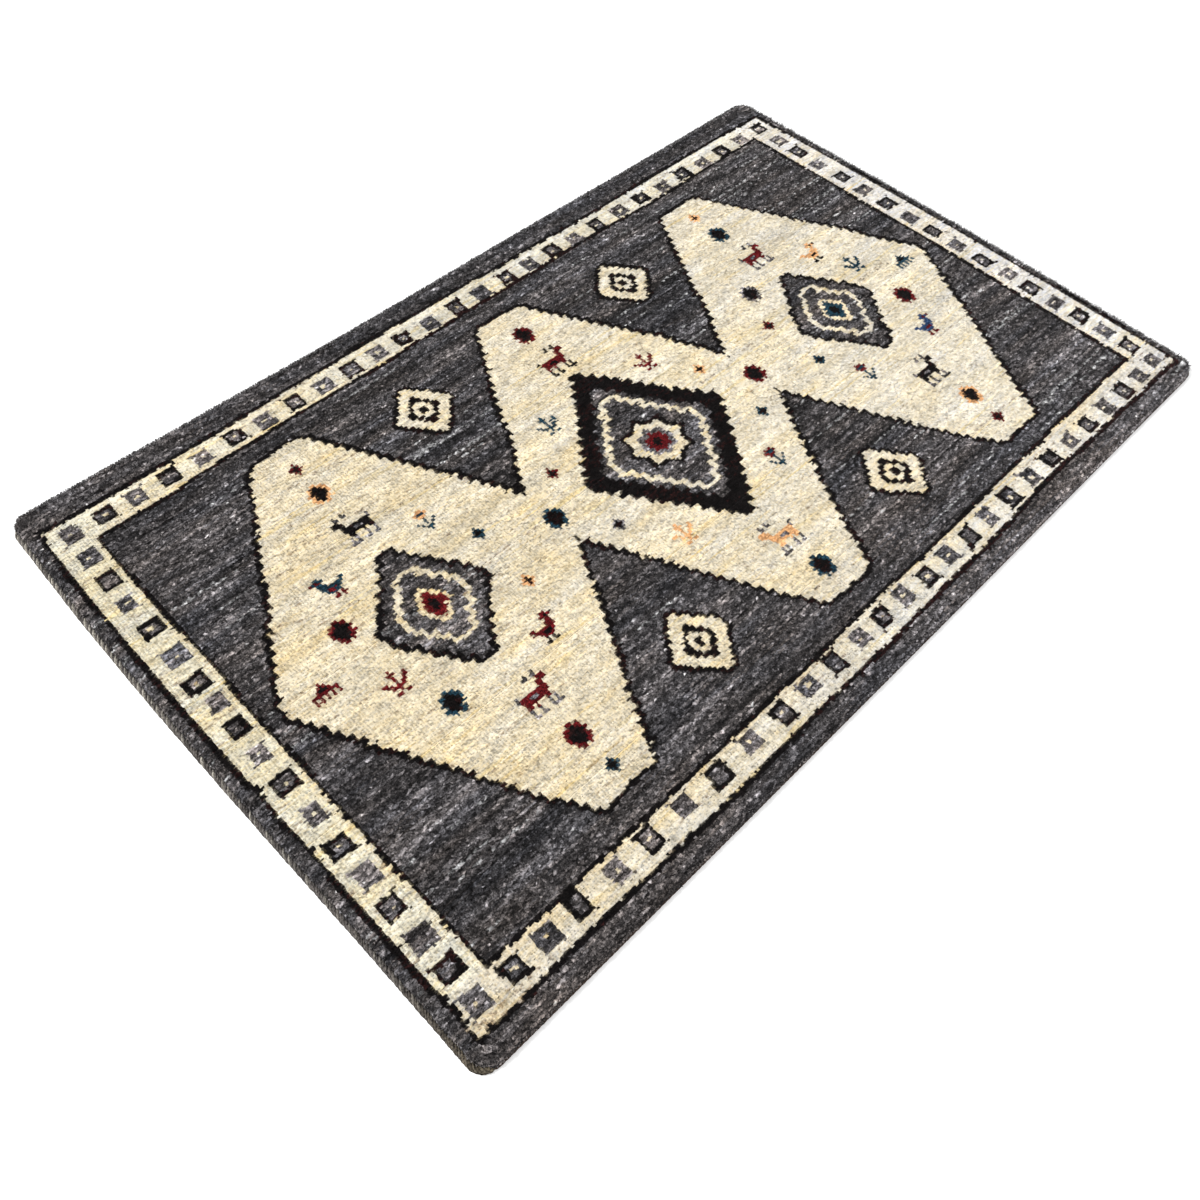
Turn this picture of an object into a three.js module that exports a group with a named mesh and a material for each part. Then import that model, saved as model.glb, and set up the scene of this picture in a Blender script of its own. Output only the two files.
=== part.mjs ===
// Hand-knotted gabbeh rug, lying flat with its pile up. Millimetres, +Z up.
// X runs along the long sides, which are the turned-under warp ends. The short sides
// are the selvedges, each overcast with a thick slanting wool yarn.
// The rug is worked out as a plain rounded rectangle and then warped a little, because
// no side of a hand-woven rug is quite straight.
import * as THREE from 'three';

// Driving dimensions of the whole rug
const LENGTH = 1250;
const WIDTH = 794;
const THICKNESS = 14;
const PILE_EDGE_HEIGHT = THICKNESS - 0.3;
const PILE_MIDDLE_HEIGHT = THICKNESS - 0.5;
const CORNER_RADIUS = 20;

// Selvedge yarn: one cord of slanting wraps along each short side and round its corners.
// Each wrap slants towards the near side on its way out, by WRAP_SLANT for each
// millimetre out, and has its groove at every third ring of the cord.
const WRAP_PITCH = 8.7;
const WRAP_RINGS = 3;
const WRAP_CREST_RADIUS = 3.45;
const WRAP_VALLEY_RADIUS = 2.85;
const WRAP_SLANT = -1.1;
const CORD_INSET = 3.6;
const CORD_HEIGHT = 3.3;
const CORD_CORNER_TURN = THREE.MathUtils.degToRad(52);
const CORD_END_SHRINK = 0.62;

// Section of the yarn: where its sides lie round it, and which of them rest on the floor
const CORD_SECTION = [
  { degrees: -62, rests: true },
  { degrees: -14, rests: false },
  { degrees: 34, rests: false },
  { degrees: 90, rests: false },
  { degrees: 146, rests: false },
  { degrees: 194, rests: false },
  { degrees: 242, rests: true },
];

// How far each side stands outside the plain rectangle, at even stations along it
const LONG_SIDES = [
  { along: 0.0, near: 2.4, far: -1.5 },
  { along: 0.2, near: 2.4, far: -4.0 },
  { along: 0.4, near: 1.6, far: -5.2 },
  { along: 0.6, near: 0.6, far: -1.5 },
  { along: 0.8, near: -1.2, far: 0.4 },
  { along: 1.0, near: -2.6, far: 3.6 },
];
const SHORT_SIDES = [
  { along: 0.0, left: -8.0, right: -6.0 },
  { along: 0.2, left: -6.0, right: -3.0 },
  { along: 0.4, left: -2.4, right: -0.4 },
  { along: 0.6, left: 0.0, right: -0.6 },
  { along: 0.8, left: -0.4, right: -3.0 },
  { along: 1.0, left: -4.4, right: -5.0 },
];

// The edge of the cloth from the underside up to the pile: how far it lies inside the
// outline on a long and on a short side, and its height. The lip of the long sides is
// the woven end that is turned under. The short sides leave room for the yarn, and the
// pile leans out over it.
const EDGE = [
  { long: 3.0, short: 9.0, height: 0 },
  { long: 0.6, short: 7.6, height: 0.5 },
  { long: 0.2, short: 7.4, height: 1.5 },
  { long: 0.6, short: 7.4, height: 2.6 },
  { long: 1.8, short: 7.4, height: 3.4 },
  { long: 0.9, short: 6.7, height: 6.2 },
  { long: 1.0, short: 5.4, height: 7.5 },
  { long: 1.6, short: 5.2, height: 9.8 },
  { long: 3.8, short: 7.4, height: 12.5 },
  { long: 8.0, short: 12.2, height: PILE_EDGE_HEIGHT },
];

// Grid of the two large faces
const LONG_STEPS = 33;
const SHORT_STEPS = 21;
const ARC_STEPS = 3;

// Turn round a corner, from the short side, past which the long side's edge takes over
const SHORT_EDGE_TURN = THREE.MathUtils.degToRad(58);

// The pile is shorn by hand, so its surface rolls by a fraction of a millimetre
const ROLLS = [
  { height: 0.22, waveX: 410, waveY: 260, phase: 0.6 },
  { height: 0.16, waveX: -190, waveY: 330, phase: 2.1 },
  { height: 0.12, waveX: 137, waveY: -118, phase: 4.0 },
];

// Smooth value at a place between 0 and 1 from a table of even stations
function between(table, column, place) {
  const last = table.length - 1;
  const at = THREE.MathUtils.clamp(place, 0, 1) * last;
  const i = Math.min(Math.floor(at), last - 1);
  const value = (k) => table[THREE.MathUtils.clamp(k, 0, last)][column];
  const t = at - i;
  const before = value(i - 1);
  const start = value(i);
  const end = value(i + 1);
  const after = value(i + 2);
  const linear = (end - before) * t;
  const square = (2 * before - 5 * start + 4 * end - after) * t * t;
  const cube = (3 * start - before - 3 * end + after) * t * t * t;
  return start + (linear + square + cube) / 2;
}

// Moves a point of the plain rectangle to where the uneven cloth has it
function warp(point) {
  const u = point.x / LENGTH + 0.5;
  const v = point.y / WIDTH + 0.5;
  const left = between(SHORT_SIDES, 'left', v);
  const right = between(SHORT_SIDES, 'right', v);
  const near = between(LONG_SIDES, 'near', u);
  const far = between(LONG_SIDES, 'far', u);
  const x = point.x + u * right - (1 - u) * left;
  const y = point.y + v * far - (1 - v) * near;
  return new THREE.Vector3(x, y, point.z);
}

// Share of the short side's edge at a turn round a corner: 0 on the long side,
// full from where the yarn ends
function shortShare(turn) {
  return 1 - THREE.MathUtils.smoothstep(turn, SHORT_EDGE_TURN, Math.PI / 2);
}

// Stations from the middle of a corner's arc, along one side, to the middle of the next
// arc. A station is a place along the side's straight part, or a turn into a corner.
function sideStations(straightLength, steps) {
  const stations = [];
  const straightSteps = steps - 2 * ARC_STEPS;
  for (let i = ARC_STEPS; i > 0; i -= 1) {
    stations.push({ run: -straightLength / 2, turn: (Math.PI / 4) * (i / ARC_STEPS) });
  }
  for (let i = 0; i <= straightSteps; i += 1) {
    stations.push({ run: straightLength * (i / straightSteps - 0.5), turn: 0 });
  }
  for (let i = 1; i <= ARC_STEPS; i += 1) {
    stations.push({ run: straightLength / 2, turn: (Math.PI / 4) * (i / ARC_STEPS) });
  }
  return stations;
}

const longStations = sideStations(LENGTH - 2 * CORNER_RADIUS, LONG_STEPS);
const shortStations = sideStations(WIDTH - 2 * CORNER_RADIUS, SHORT_STEPS);

// One point of an edge ring, on the long side (across = -1 near, 1 far)
function longEdgePoint(station, across, ring) {
  const inset = THREE.MathUtils.lerp(ring.long, ring.short, shortShare(Math.PI / 2 - station.turn));
  const radius = CORNER_RADIUS - inset;
  const x = station.run + Math.sign(station.run) * radius * Math.sin(station.turn);
  const y = across * (WIDTH / 2 - CORNER_RADIUS + radius * Math.cos(station.turn));
  return new THREE.Vector3(x, y, ring.height);
}

// The same on the short side (across = -1 left, 1 right)
function shortEdgePoint(station, across, ring) {
  const inset = THREE.MathUtils.lerp(ring.long, ring.short, shortShare(station.turn));
  const radius = CORNER_RADIUS - inset;
  const x = across * (LENGTH / 2 - CORNER_RADIUS + radius * Math.cos(station.turn));
  const y = station.run + Math.sign(station.run) * radius * Math.sin(station.turn);
  return new THREE.Vector3(x, y, ring.height);
}

// All points of one edge ring, anticlockwise from the near left corner
function edgeRing(ring) {
  const near = longStations.slice(0, -1).map((s) => longEdgePoint(s, -1, ring));
  const right = shortStations.slice(0, -1).map((s) => shortEdgePoint(s, 1, ring));
  const far = longStations.slice(1).reverse().map((s) => longEdgePoint(s, 1, ring));
  const left = shortStations.slice(1).reverse().map((s) => shortEdgePoint(s, -1, ring));
  return [...near, ...right, ...far, ...left];
}

// Number of a grid node in its ring, or -1 where the node lies inside the face
function ringNumber(i, j) {
  if (j === 0) return i;
  if (i === LONG_STEPS) return LONG_STEPS + j;
  if (j === SHORT_STEPS) return LONG_STEPS + SHORT_STEPS + (LONG_STEPS - i);
  if (i === 0) return 2 * LONG_STEPS + SHORT_STEPS + (SHORT_STEPS - j);
  return -1;
}

// Rise of the pile's surface at a point
function roll(x, y) {
  let rise = 0;
  for (const r of ROLLS) {
    rise += r.height * Math.sin(2 * Math.PI * (x / r.waveX + y / r.waveY) + r.phase);
  }
  return rise;
}

function solid(points, triangles) {
  const geometry = new THREE.BufferGeometry();
  geometry.setAttribute('position', new THREE.Float32BufferAttribute(points.flatMap((p) => p.toArray()), 3));
  geometry.setIndex(triangles);
  geometry.computeVertexNormals();
  return geometry;
}

// The knotted cloth: woven ground, pile and turned-under ends, all one solid
function clothGeometry() {
  const points = [];
  const triangles = [];
  const rings = EDGE.map((ring) => edgeRing(ring));
  const perRing = rings[0].length;
  rings.forEach((ring) => points.push(...ring));
  for (let r = 0; r < rings.length - 1; r += 1) {
    for (let k = 0; k < perRing; k += 1) {
      const a = r * perRing + k;
      const b = r * perRing + ((k + 1) % perRing);
      triangles.push(a, b, b + perRing, a, b + perRing, a + perRing);
    }
  }
  const addFace = (ringIndex, height, facesUp) => {
    const first = ringIndex * perRing;
    const ring = rings[ringIndex];
    const node = [];
    for (let j = 0; j <= SHORT_STEPS; j += 1) {
      for (let i = 0; i <= LONG_STEPS; i += 1) {
        const onRing = ringNumber(i, j);
        if (onRing >= 0) {
          node.push(first + onRing);
        } else {
          const x = ring[ringNumber(i, 0)].x;
          const y = ring[ringNumber(0, j)].y;
          node.push(points.length);
          points.push(new THREE.Vector3(x, y, height(x, y)));
        }
      }
    }
    for (let j = 0; j < SHORT_STEPS; j += 1) {
      for (let i = 0; i < LONG_STEPS; i += 1) {
        const a = node[j * (LONG_STEPS + 1) + i];
        const b = node[j * (LONG_STEPS + 1) + i + 1];
        const c = node[(j + 1) * (LONG_STEPS + 1) + i + 1];
        const d = node[(j + 1) * (LONG_STEPS + 1) + i];
        if (facesUp) {
          triangles.push(a, b, c, a, c, d);
        } else {
          triangles.push(a, c, b, a, d, c);
        }
      }
    }
  };
  addFace(0, () => 0, false);
  addFace(rings.length - 1, (x, y) => PILE_MIDDLE_HEIGHT + roll(x, y), true);
  return solid(points.map(warp), triangles);
}

// Middle line of the left selvedge yarn at a distance along it, and the way it faces
function cordPlace(distance) {
  const radius = CORNER_RADIUS - CORD_INSET;
  const straight = WIDTH - 2 * CORNER_RADIUS;
  const along = distance - straight / 2;
  const beyond = Math.max(Math.abs(along) - straight / 2, 0);
  const turn = (Math.sign(along) * beyond) / radius;
  const run = THREE.MathUtils.clamp(along, -straight / 2, straight / 2);
  const outward = new THREE.Vector3(-Math.cos(turn), Math.sin(turn), 0);
  const middle = new THREE.Vector3(CORNER_RADIUS - LENGTH / 2, run, CORD_HEIGHT);
  middle.addScaledVector(outward, radius);
  const ahead = new THREE.Vector3(Math.sin(turn), Math.cos(turn), 0);
  return { middle, outward, ahead };
}

// Overcast yarn of one short side (across = -1 left, 1 right), its wraps raised
function selvedgeGeometry(across) {
  const cornerRun = (CORNER_RADIUS - CORD_INSET) * CORD_CORNER_TURN;
  const straight = WIDTH - 2 * CORNER_RADIUS;
  const wraps = Math.floor((straight + 2 * cornerRun) / WRAP_PITCH);
  const ringCount = WRAP_RINGS * wraps + 1;
  const sides = CORD_SECTION.length;
  const points = [];
  const triangles = [];
  for (let r = 0; r < ringCount; r += 1) {
    const isCrest = r % WRAP_RINGS !== 0;
    const isEnd = r === 0 || r === ringCount - 1;
    const distance = THREE.MathUtils.lerp(-cornerRun, straight + cornerRun, r / (ringCount - 1));
    const place = cordPlace(distance);
    const radius = (isCrest ? WRAP_CREST_RADIUS : WRAP_VALLEY_RADIUS) * (isEnd ? CORD_END_SHRINK : 1);
    for (const { degrees, rests } of CORD_SECTION) {
      const angle = THREE.MathUtils.degToRad(degrees);
      const out = radius * Math.cos(angle);
      const point = place.middle.clone();
      point.addScaledVector(place.outward, out);
      point.addScaledVector(place.ahead, isEnd ? 0 : WRAP_SLANT * out);
      point.z = rests ? 0 : CORD_HEIGHT + radius * Math.sin(angle);
      point.x *= -across;
      points.push(warp(point));
    }
  }
  for (let r = 0; r < ringCount - 1; r += 1) {
    for (let k = 0; k < sides; k += 1) {
      const a = r * sides + k;
      const b = r * sides + ((k + 1) % sides);
      triangles.push(a, b, b + sides, a, b + sides, a + sides);
    }
  }
  for (let k = 1; k < sides - 1; k += 1) {
    const last = (ringCount - 1) * sides;
    triangles.push(0, k + 1, k, last, last + k, last + k + 1);
  }
  if (across > 0) {
    for (let t = 0; t < triangles.length; t += 3) {
      [triangles[t + 1], triangles[t + 2]] = [triangles[t + 2], triangles[t + 1]];
    }
  }
  return solid(points, triangles);
}

const pileWool = new THREE.MeshStandardMaterial({ color: 0x6a6363, roughness: 1, metalness: 0 });
const selvedgeWool = new THREE.MeshStandardMaterial({ color: 0x5d5755, roughness: 1, metalness: 0 });

const rug = new THREE.Group();

const cloth = new THREE.Mesh(clothGeometry(), pileWool);
cloth.name = 'rug_body';
rug.add(cloth);

for (const side of [{ name: 'selvedge_left', across: -1 }, { name: 'selvedge_right', across: 1 }]) {
  const yarn = new THREE.Mesh(selvedgeGeometry(side.across), selvedgeWool);
  yarn.name = side.name;
  rug.add(yarn);
}

// Origin under the middle of the rug's outer box
const box = new THREE.Box3().setFromObject(rug);
rug.children.forEach((mesh) => mesh.position.set(-(box.min.x + box.max.x) / 2, -(box.min.y + box.max.y) / 2, 0));

export default rug;
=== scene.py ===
# A hand-knotted gabbeh rug, laid flat with its pile up. Metres, +Z up.
# X runs along the long sides, which the rows of knots follow. -Y is the near long side,
# towards which the pile leans.
import math

import bpy
import numpy as np
from mathutils import Matrix, Vector


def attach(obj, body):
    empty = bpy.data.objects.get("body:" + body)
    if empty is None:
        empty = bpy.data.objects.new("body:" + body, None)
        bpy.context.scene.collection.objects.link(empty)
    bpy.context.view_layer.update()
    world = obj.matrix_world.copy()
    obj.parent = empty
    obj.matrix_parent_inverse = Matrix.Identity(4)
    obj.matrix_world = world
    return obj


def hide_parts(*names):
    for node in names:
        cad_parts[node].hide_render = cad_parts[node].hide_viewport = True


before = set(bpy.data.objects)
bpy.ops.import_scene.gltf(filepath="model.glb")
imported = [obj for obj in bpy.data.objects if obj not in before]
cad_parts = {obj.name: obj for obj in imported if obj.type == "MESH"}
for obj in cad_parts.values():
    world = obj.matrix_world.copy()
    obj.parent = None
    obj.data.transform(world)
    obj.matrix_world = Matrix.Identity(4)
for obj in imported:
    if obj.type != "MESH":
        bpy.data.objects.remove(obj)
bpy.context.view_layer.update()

# Camera. It stands above the near left corner and looks down across the rug, turned a
# little on its own axis. Place, aim and lens follow from the corners of the border.
EYE = (-0.681, -0.553, 0.964)
AIM = (-0.210, -0.125, 0.014)
EYE_TURN = math.radians(3.97)
LENS_MM = 31.83
SENSOR_MM = 36.0


def placed(name, data):
    piece = bpy.data.objects.new(name, data)
    bpy.context.scene.collection.objects.link(piece)
    return piece


camera = placed("camera", bpy.data.cameras.new("camera"))
camera.data.lens = LENS_MM
camera.data.sensor_width = SENSOR_MM
camera.data.clip_start = 0.05
camera.data.clip_end = 30.0
camera.rotation_mode = "QUATERNION"
camera.location = EYE
level = (Vector(AIM) - Vector(EYE)).to_track_quat("-Z", "Y")
camera.rotation_quaternion = level @ Matrix.Rotation(EYE_TURN, 3, "Z").to_quaternion()
bpy.context.scene.camera = camera

# Floor and light. A pale matt floor in an even white studio, and one wide soft lamp from
# behind on the left, which rounds the tufts and leaves the near edge in shade.
FLOOR_HALF = 6.0
FLOOR_DROP = 0.0006
FLOOR_TONE = (0.93, 0.93, 0.93, 1.0)
FLOOR_PAINT = {
    "Base Color": FLOOR_TONE, "Roughness": 0.95, "Specular IOR Level": 0.1,
    "Emission Color": FLOOR_TONE, "Emission Strength": 0.28,
}
SKY = {"Color": (1.0, 1.0, 1.0, 1.0), "Strength": 0.82}
LAMP_FROM = (-0.55, 0.50, 0.75)
LAMP_STRENGTH = 3.0
LAMP_SPREAD = math.radians(22)


def set_inputs(node, values):
    for name, value in values.items():
        node.inputs[name].default_value = value


floor_mesh = bpy.data.meshes.new("floor")
corners = [(x * FLOOR_HALF, y * FLOOR_HALF, -FLOOR_DROP) for x, y in ((-1, -1), (1, -1), (1, 1), (-1, 1))]
floor_mesh.from_pydata(corners, [], [(0, 1, 2, 3)])
floor = placed("floor", floor_mesh)
floor_paint = bpy.data.materials.new("pale_floor")
floor_paint.use_nodes = True
set_inputs(floor_paint.node_tree.nodes["Principled BSDF"], FLOOR_PAINT)
floor_mesh.materials.append(floor_paint)

sky = bpy.data.worlds.new("studio")
sky.use_nodes = True
set_inputs(sky.node_tree.nodes["Background"], SKY)
bpy.context.scene.world = sky

lamp = bpy.data.lights.new("soft_lamp", "SUN")
lamp.energy = LAMP_STRENGTH
lamp.angle = LAMP_SPREAD
holder = placed("soft_lamp", lamp)
holder.rotation_mode = "QUATERNION"
holder.rotation_quaternion = Vector(LAMP_FROM).to_track_quat("Z", "Y")

bpy.context.scene.view_settings.view_transform = "Standard"

# How the uneven cloth lies: its sides wander by a few millimetres, its corners are round,
# and its edge falls from the pile to the floor. The sides and rolls are the solids' own.
KNOTS = 362
ROWS = 388
ROW_MM = 1250.0
CLOTH_MM = 794.0
CORNER_MM = 20.0
CORNER_X, CORNER_Y = ROW_MM / 2 - CORNER_MM, CLOTH_MM / 2 - CORNER_MM
THICK_MM = 14.0
PILE_TOP_MM = THICK_MM - 0.4
CENTRE_SHIFT_MM = (0.142, -0.495)
NEAR_SIDE = (2.4, 2.4, 1.6, 0.6, -1.2, -2.6)
FAR_SIDE = (-1.5, -4.0, -5.2, -1.5, 0.4, 3.6)
LEFT_SIDE = (-8.0, -6.0, -2.4, 0.0, -0.4, -4.4)
RIGHT_SIDE = (-6.0, -3.0, -0.4, -0.6, -3.0, -5.0)
# Each roll's height, its lengths along x and y, and its phase
ROLLS = ((0.22, 410, 260, 0.6), (0.16, -190, 330, 2.1), (0.12, 137, -118, 4.0))
EDGE_REACH_MM = 58.0
# Turn round a corner, in degrees, over which the short side's edge gives way to the long one's
CORNER_BLEND = (40, 95)
SIDE_BLEND_MM = 16.0
# The pile is fuller along the far and right sides: by how much, and where that sets in
FULLER = 0.55
FULL_HEIGHTS_MM = (6.5, 9.5)
# From the foot of the pile to its top: how far inside the outline, and how high
LONG_EDGE = (
    (1.8, 3.3), (0.9, 6.2), (1.0, 7.5), (1.6, 9.8), (3.8, 12.4), (8.0, PILE_TOP_MM),
    (EDGE_REACH_MM, PILE_TOP_MM),
)
SHORT_EDGE = (
    (7.5, 3.3), (6.8, 6.2), (5.5, 7.6), (5.3, 9.8), (7.4, 12.3), (12.2, PILE_TOP_MM),
    (EDGE_REACH_MM, PILE_TOP_MM),
)


def unit(value):
    return np.clip(value, 0, 1)


def ramp(value, start, end):
    """0 up to the start, then rising evenly to 1 at the end."""
    return unit((value - start) / (end - start))


def eased(t):
    """0 to 1 with a soft start and end."""
    return t * t * (3 - 2 * t)


def blend(first, second, share):
    return first * (1 - share) + second * share


def side_offset(table, place):
    """Smooth value at places from 0 to 1 of a table of even stations."""
    table = np.array(table)
    last = len(table) - 1
    at = unit(place) * last
    i = np.minimum(np.floor(at), last - 1).astype(int)
    t = at - i
    before, start = table[np.maximum(i - 1, 0)], table[i]
    end, after = table[i + 1], table[np.minimum(i + 2, last)]
    square = (2 * before - 5 * start + 4 * end - after) * t**2
    cube = (3 * start - before - 3 * end + after) * t**3
    return start + ((end - before) * t + square + cube) / 2


def warp(x, y, z):
    """From the plain rectangle in millimetres to the uneven cloth in metres."""
    u, v = x / ROW_MM + 0.5, y / CLOTH_MM + 0.5
    right, left = side_offset(RIGHT_SIDE, v), side_offset(LEFT_SIDE, v)
    far, near = side_offset(FAR_SIDE, u), side_offset(NEAR_SIDE, u)
    warped_x = x + u * right - (1 - u) * left + CENTRE_SHIFT_MM[0]
    warped_y = y + v * far - (1 - v) * near + CENTRE_SHIFT_MM[1]
    return np.stack([warped_x, warped_y, z], axis=-1) / 1000


def round_corners(x, y):
    """Draws the square corners of the plain rectangle in to round ones."""
    over_x = unit((np.abs(x) - CORNER_X) / CORNER_MM)
    over_y = unit((np.abs(y) - CORNER_Y) / CORNER_MM)
    both = (over_x > 0) & (over_y > 0)
    round_x = over_x * np.sqrt(1 - over_y**2 / 2)
    round_y = over_y * np.sqrt(1 - over_x**2 / 2)
    new_x = np.where(both, np.sign(x) * (CORNER_X + CORNER_MM * round_x), x)
    return new_x, np.where(both, np.sign(y) * (CORNER_Y + CORNER_MM * round_y), y)


def open_side(way_x, way_y):
    """1 where the edge faces the far or right side, falling to 0 round the corners."""
    return np.hypot(unit(way_x), unit(way_y))


def edge_place(x, y):
    """How far inside the outline, the way out, and how much the short side's edge holds."""
    past_x, past_y = np.abs(x) - CORNER_X, np.abs(y) - CORNER_Y
    in_corner = (past_x > 0) & (past_y > 0)
    far_out = np.hypot(past_x, past_y)
    to_short = unit(0.5 + (past_x - past_y) / SIDE_BLEND_MM)
    inside_by = np.where(in_corner, CORNER_MM - far_out, CORNER_MM - np.maximum(past_x, past_y))
    safe = np.maximum(far_out, 1e-6)
    way_x = np.sign(x) * np.where(in_corner, past_x / safe, to_short)
    way_y = np.sign(y) * np.where(in_corner, past_y / safe, 1 - to_short)
    turn = np.degrees(np.arctan2(np.abs(way_y), np.abs(way_x)))
    return inside_by, way_x, way_y, 1 - eased(ramp(turn, *CORNER_BLEND))


def pile_surface(x, y):
    """The even surface of the pile over a point of the plain rectangle, in millimetres."""
    x, y = round_corners(x, y)
    inside_by, way_x, way_y, short = edge_place(x, y)
    share = unit(inside_by / EDGE_REACH_MM)
    edges = []
    for table in np.array([LONG_EDGE, SHORT_EDGE]):
        run = np.concatenate([[0], np.cumsum(np.hypot(*np.diff(table, axis=0).T))])
        edges.append([np.interp(share * run[-1], run, column) for column in table.T])
    inset, height = [blend(*pair, short) for pair in zip(*edges)]
    top = blend(LONG_EDGE[-2][0], SHORT_EDGE[-2][0], short)
    full = FULLER * open_side(way_x, way_y) * ramp(height, *FULL_HEIGHTS_MM)
    full *= np.minimum(inset, top) * ramp(EDGE_REACH_MM - inset, 0, EDGE_REACH_MM - top)
    drawn = np.where(inside_by < EDGE_REACH_MM, inside_by - inset + full, 0)
    roll = sum(rise * np.sin(2 * np.pi * (x / wave_x + y / wave_y) + phase)
               for rise, wave_x, wave_y, phase in ROLLS)
    return x + way_x * drawn, y + way_y * drawn, height + roll * share


# The weaver's chart: one colour of wool for each knot, placed in millimetres from the middle
# of the rug. Its field holds three linked lozenges, a common plan of such rugs.
CHARCOAL, CREAM, BLACK, GREY, PALE, RED, TEAL, ORANGE, BLUE = range(9)
# Where the cream of the border ends on each side, at even steps along the cloth
OUTER_EDGE = {
    "left": (-592, -597, -598, -602, -603, -601, -597), "right": (603, 609, 610, 611, 611, 608, 605),
    "near": (-372, -371, -374, -373, -372, -370, -364, -365, -369),
    "far": (355, 350, 354, 356, 356, 355, 355, 358, 356),
}
INNER_EDGE = {
    "left": (-552, -555, -557, -558, -558, -558, -557), "right": (561, 563, 564, 565, 565, 562, 563),
    "near": (-335, -335, -334, -335, -332, -331, -328, -327, -327),
    "far": (312, 312, 318, 317, 320, 323, 319, 322, 322),
}
OUTER_LINE_MM = 6.2
INNER_LINE_MM = 5.0
OUTER_SEED = 10
INNER_SEED = 30
# How unsteady the hand is along an edge: by how much, and over what length
EDGE_WANDER = (1.2, 45)
EDGE_TEETH = (0.8, 4.0)
FIELD_WANDER = {"x": (2.4, 45), "y": (2.4, 55), "teeth": (0.8, 5)}
DRIFT_REACH_MM = 1100.0
FIELD_MIDDLE = (3.5, -8.0)
LEAN_MM = 0.95

# KX and KY are the knots' places in the plain rectangle, RX and RY those of their tips in
# the uneven cloth, which the chart goes by
knot_x = (np.arange(KNOTS) + 0.5) / KNOTS * ROW_MM - ROW_MM / 2
row_y = (np.arange(ROWS) + 0.5) / ROWS * CLOTH_MM - CLOTH_MM / 2
KX, KY = np.meshgrid(knot_x, row_y)
tip_x, tip_y, tip_z = pile_surface(KX, KY)
RX, RY = np.moveaxis(warp(tip_x, tip_y - LEAN_MM, tip_z)[..., :2] * 1000, -1, 0)
chart = np.full((ROWS, KNOTS), CHARCOAL)
lot = np.zeros((ROWS, KNOTS))


def drift(places, size, step, seed):
    """The unsteady hand: a smooth offset of up to size that changes as places go by."""
    marks = np.arange(-DRIFT_REACH_MM, DRIFT_REACH_MM + 3 * step, step)
    values = np.random.default_rng(seed).uniform(-size, size, len(marks))
    at = (places - marks[0]) / step
    i = at.astype(int)
    t = eased(at - i)
    return blend(values[i], values[i + 1], t)


def within(edge, grow, seed):
    """Knots inside a border edge moved outwards by grow. It wanders and has small teeth."""
    sides = []
    for number, side in enumerate(("left", "right", "near", "far")):
        places, length = (RY, CLOTH_MM) if number < 2 else (RX, ROW_MM)
        stations = np.linspace(-length / 2, length / 2, len(edge[side]))
        wander = np.interp(places, stations, edge[side]) + drift(places, *EDGE_WANDER, seed + number)
        teeth = drift(places, *EDGE_TEETH, seed + number + 4 + round(grow))
        outward = -1 if side in ("left", "near") else 1
        sides.append(wander + outward * (grow + teeth))
    return (RX > sides[0]) & (RX < sides[1]) & (RY > sides[2]) & (RY < sides[3])


chart[within(OUTER_EDGE, OUTER_LINE_MM, OUTER_SEED)] = BLACK
chart[within(OUTER_EDGE, 0, OUTER_SEED)] = CREAM
chart[within(INNER_EDGE, 0, INNER_SEED)] = BLACK
chart[within(INNER_EDGE, -INNER_LINE_MM, INNER_SEED)] = CHARCOAL

# Border squares, in turn plain grey and grey with a black outline, most with a pale dot.
# Each is knotted from its own small lot of grey wool.
SQUARES_LONG = 28
SQUARES_SHORT = 18
SQUARE_HALF_MM = {"plain": (10.8, 11.2), "outlined": (11.8, 12.6)}
SQUARE_LINE_MM = 4.9
SQUARE_UNEVEN_MM = {"half": 1.3, "place": 1.6, "dot": 1.5}
SQUARE_LEAN = 0.09
SQUARE_PINCH = 0.08
# A square's corner knots stick out: their middle from the corner, and their half size
SPIKE_OUT_MM = (0.6, -0.2)
SPIKE_HALF_MM = (1.8, 1.3)
DOT_SHARE = 0.85
DOT_HALF_MM = ((1.8, 2.6), (1.1, 2.6))
SQUARE_ROWS = {"near": -350.0, "far": 333.0}
SQUARE_COLUMNS = {"left": -577.0, "right": 585.5}
# How far the squares stray along their row or column, at even steps of it
SQUARE_STRAY = {
    "near": (0, -7, 1, 19, 21, 10, 5, 8, 6, 0), "far": (0, -4, -2, -6, -9, -5, -8, -2, -2, 0),
    "left": (0, -2, -13, 3, -8, -5, 0), "right": (0, 1, -4, -10, -14, -7, 0),
}


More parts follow.
